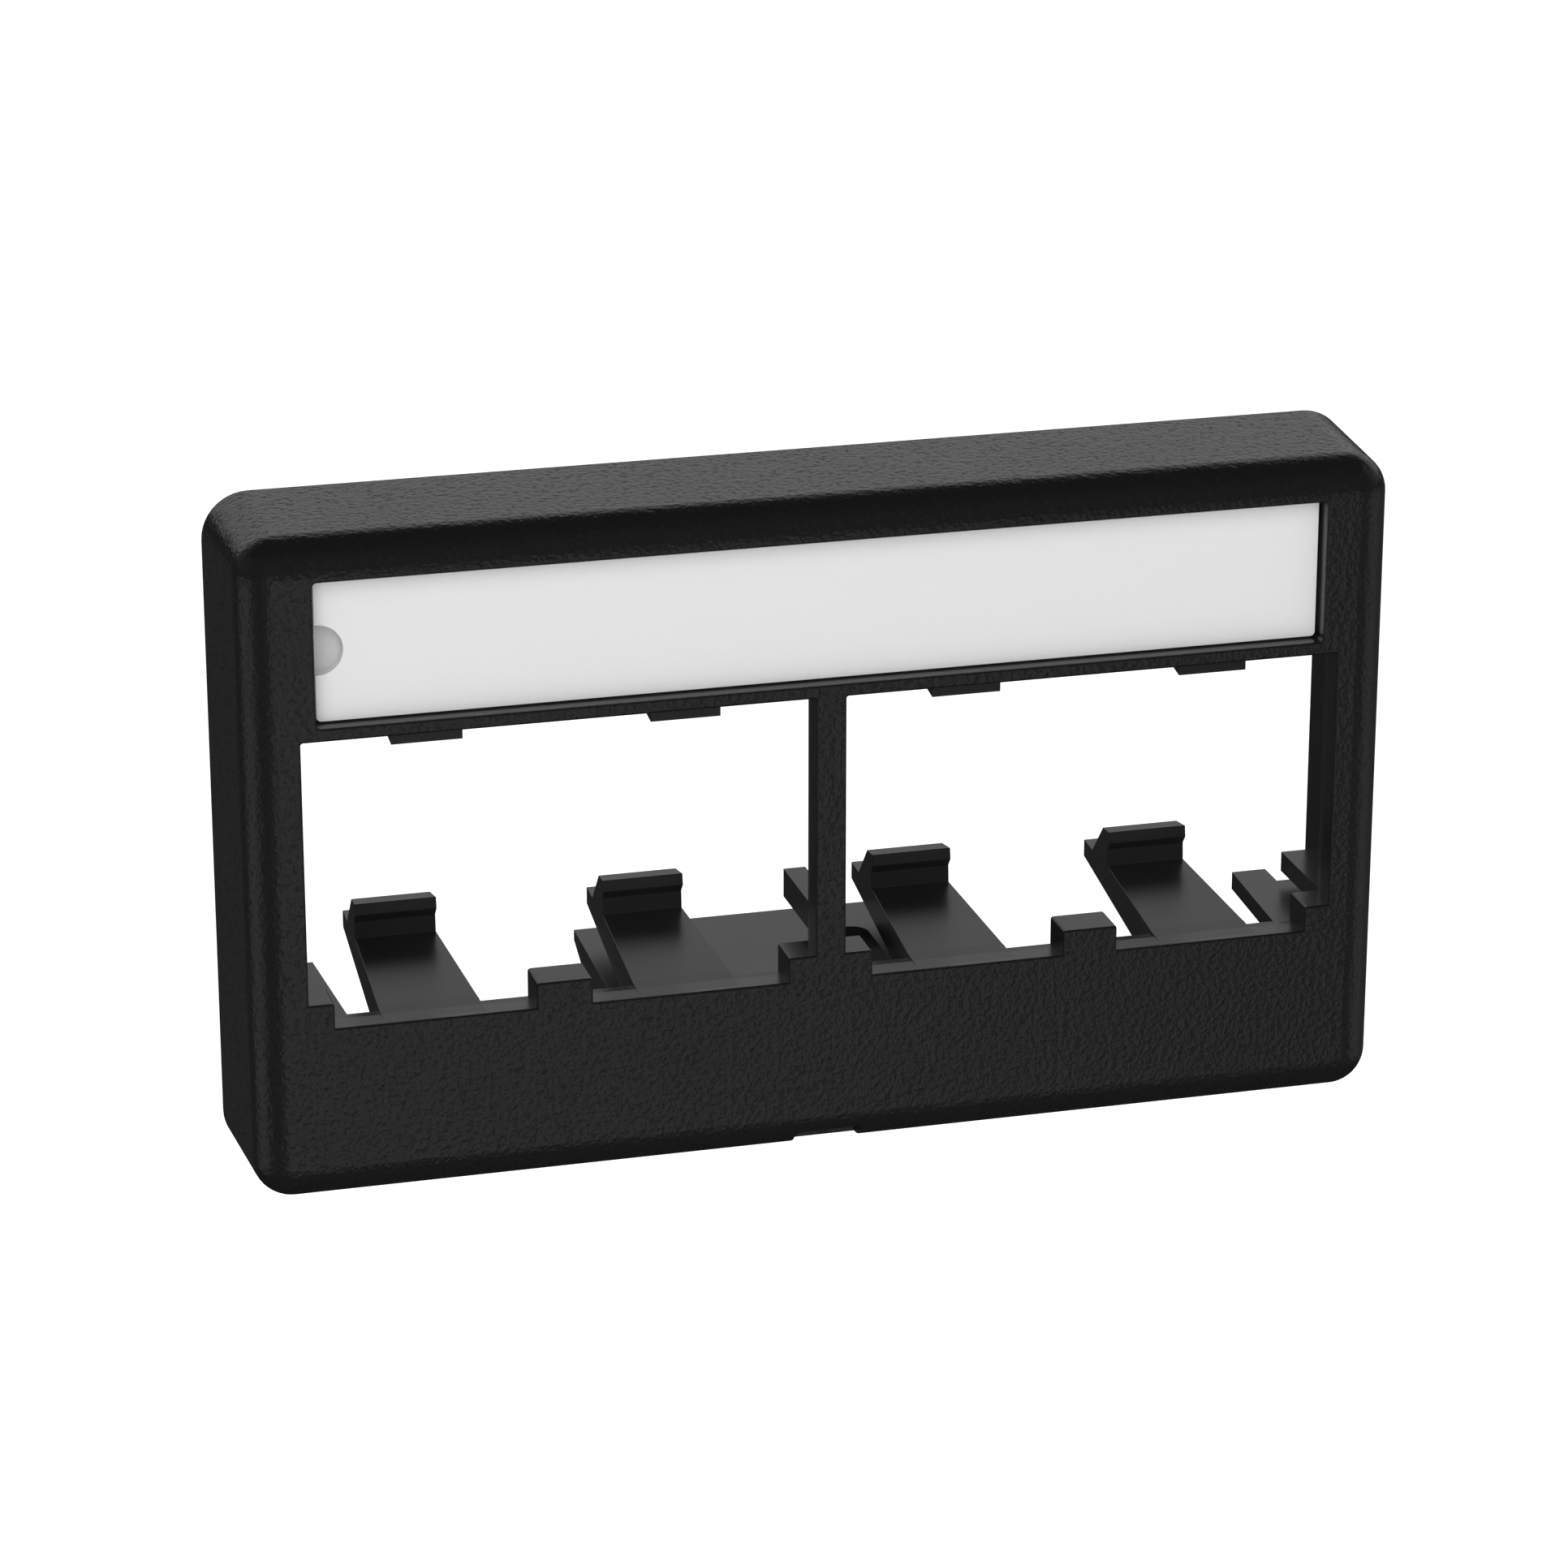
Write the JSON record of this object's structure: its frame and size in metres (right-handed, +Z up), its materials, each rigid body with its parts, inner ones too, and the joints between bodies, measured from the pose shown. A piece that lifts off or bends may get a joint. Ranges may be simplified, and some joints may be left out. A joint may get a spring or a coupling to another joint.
{
  "type": "clip-in furniture faceplate",
  "caption": "Raised clip-in furniture faceplate with hooked spring latches for data-jack modules and a label window behind a clear cover.",
  "frame": {"origin": "centre of the furniture panel cut-out, in the plane where the rear rim meets the panel", "axes": "+Z up, +X to the right seen from the front, +Y backwards into the furniture; the visible front faces -Y"},
  "size_m": [0.077, 0.0205, 0.0454],
  "materials": {
    "grained_black": "black ABS with a fine moulded leather grain outside, smooth inside",
    "smooth_black": "smooth satin black ABS",
    "clear_cover": "clear polished polycarbonate",
    "label_paper": "plain white label stock"
  },
  "bodies": {
    "bezel": {"bezel_frame": "grained_black"},
    "mounting_tongue": {"mounting_latch": "smooth_black"},
    "latch_1": {"module_latch_1": "smooth_black"},
    "latch_2": {"module_latch_2": "smooth_black"},
    "latch_3": {"module_latch_3": "smooth_black"},
    "latch_4": {"module_latch_4": "smooth_black"},
    "cover": {"label_cover": "clear_cover"},
    "label": {"label_card": "label_paper"}
  },
  "joints": [
    {"name": "latch_1_flex", "type": "hinge", "parent": "bezel", "child": "latch_1", "pos_m": [-0.02616, -0.00798, -0.0127], "axis": [1, 0, 0], "range_deg": [-4, 0], "stiffness_Nm_per_rad": 1.7},
    {"name": "latch_2_flex", "type": "hinge", "parent": "bezel", "child": "latch_2", "pos_m": [-0.00935, -0.00798, -0.0127], "axis": [1, 0, 0], "range_deg": [-4, 0], "stiffness_Nm_per_rad": 1.7},
    {"name": "latch_3_flex", "type": "hinge", "parent": "bezel", "child": "latch_3", "pos_m": [0.00935, -0.00798, -0.0127], "axis": [1, 0, 0], "range_deg": [-4, 0], "stiffness_Nm_per_rad": 1.7},
    {"name": "latch_4_flex", "type": "hinge", "parent": "bezel", "child": "latch_4", "pos_m": [0.02616, -0.00798, -0.0127], "axis": [1, 0, 0], "range_deg": [-4, 0], "stiffness_Nm_per_rad": 1.7},
    {"name": "mounting_flex", "type": "hinge", "parent": "bezel", "child": "mounting_tongue", "pos_m": [0, -0.00798, -0.0132], "axis": [1, 0, 0], "range_deg": [0, 2.8], "stiffness_Nm_per_rad": 5.9},
    {"name": "cover_slide", "type": "slide", "parent": "bezel", "child": "cover", "axis": [0, -1, 0], "range_m": [0, 0.016]},
    {"name": "label_slide", "type": "slide", "parent": "bezel", "child": "label", "axis": [0, -1, 0], "range_m": [0, 0.008]}
  ],
  "couplings": [
    {"joint": "label_slide", "follows": "cover_slide", "ratio": 0.5}
  ]
}
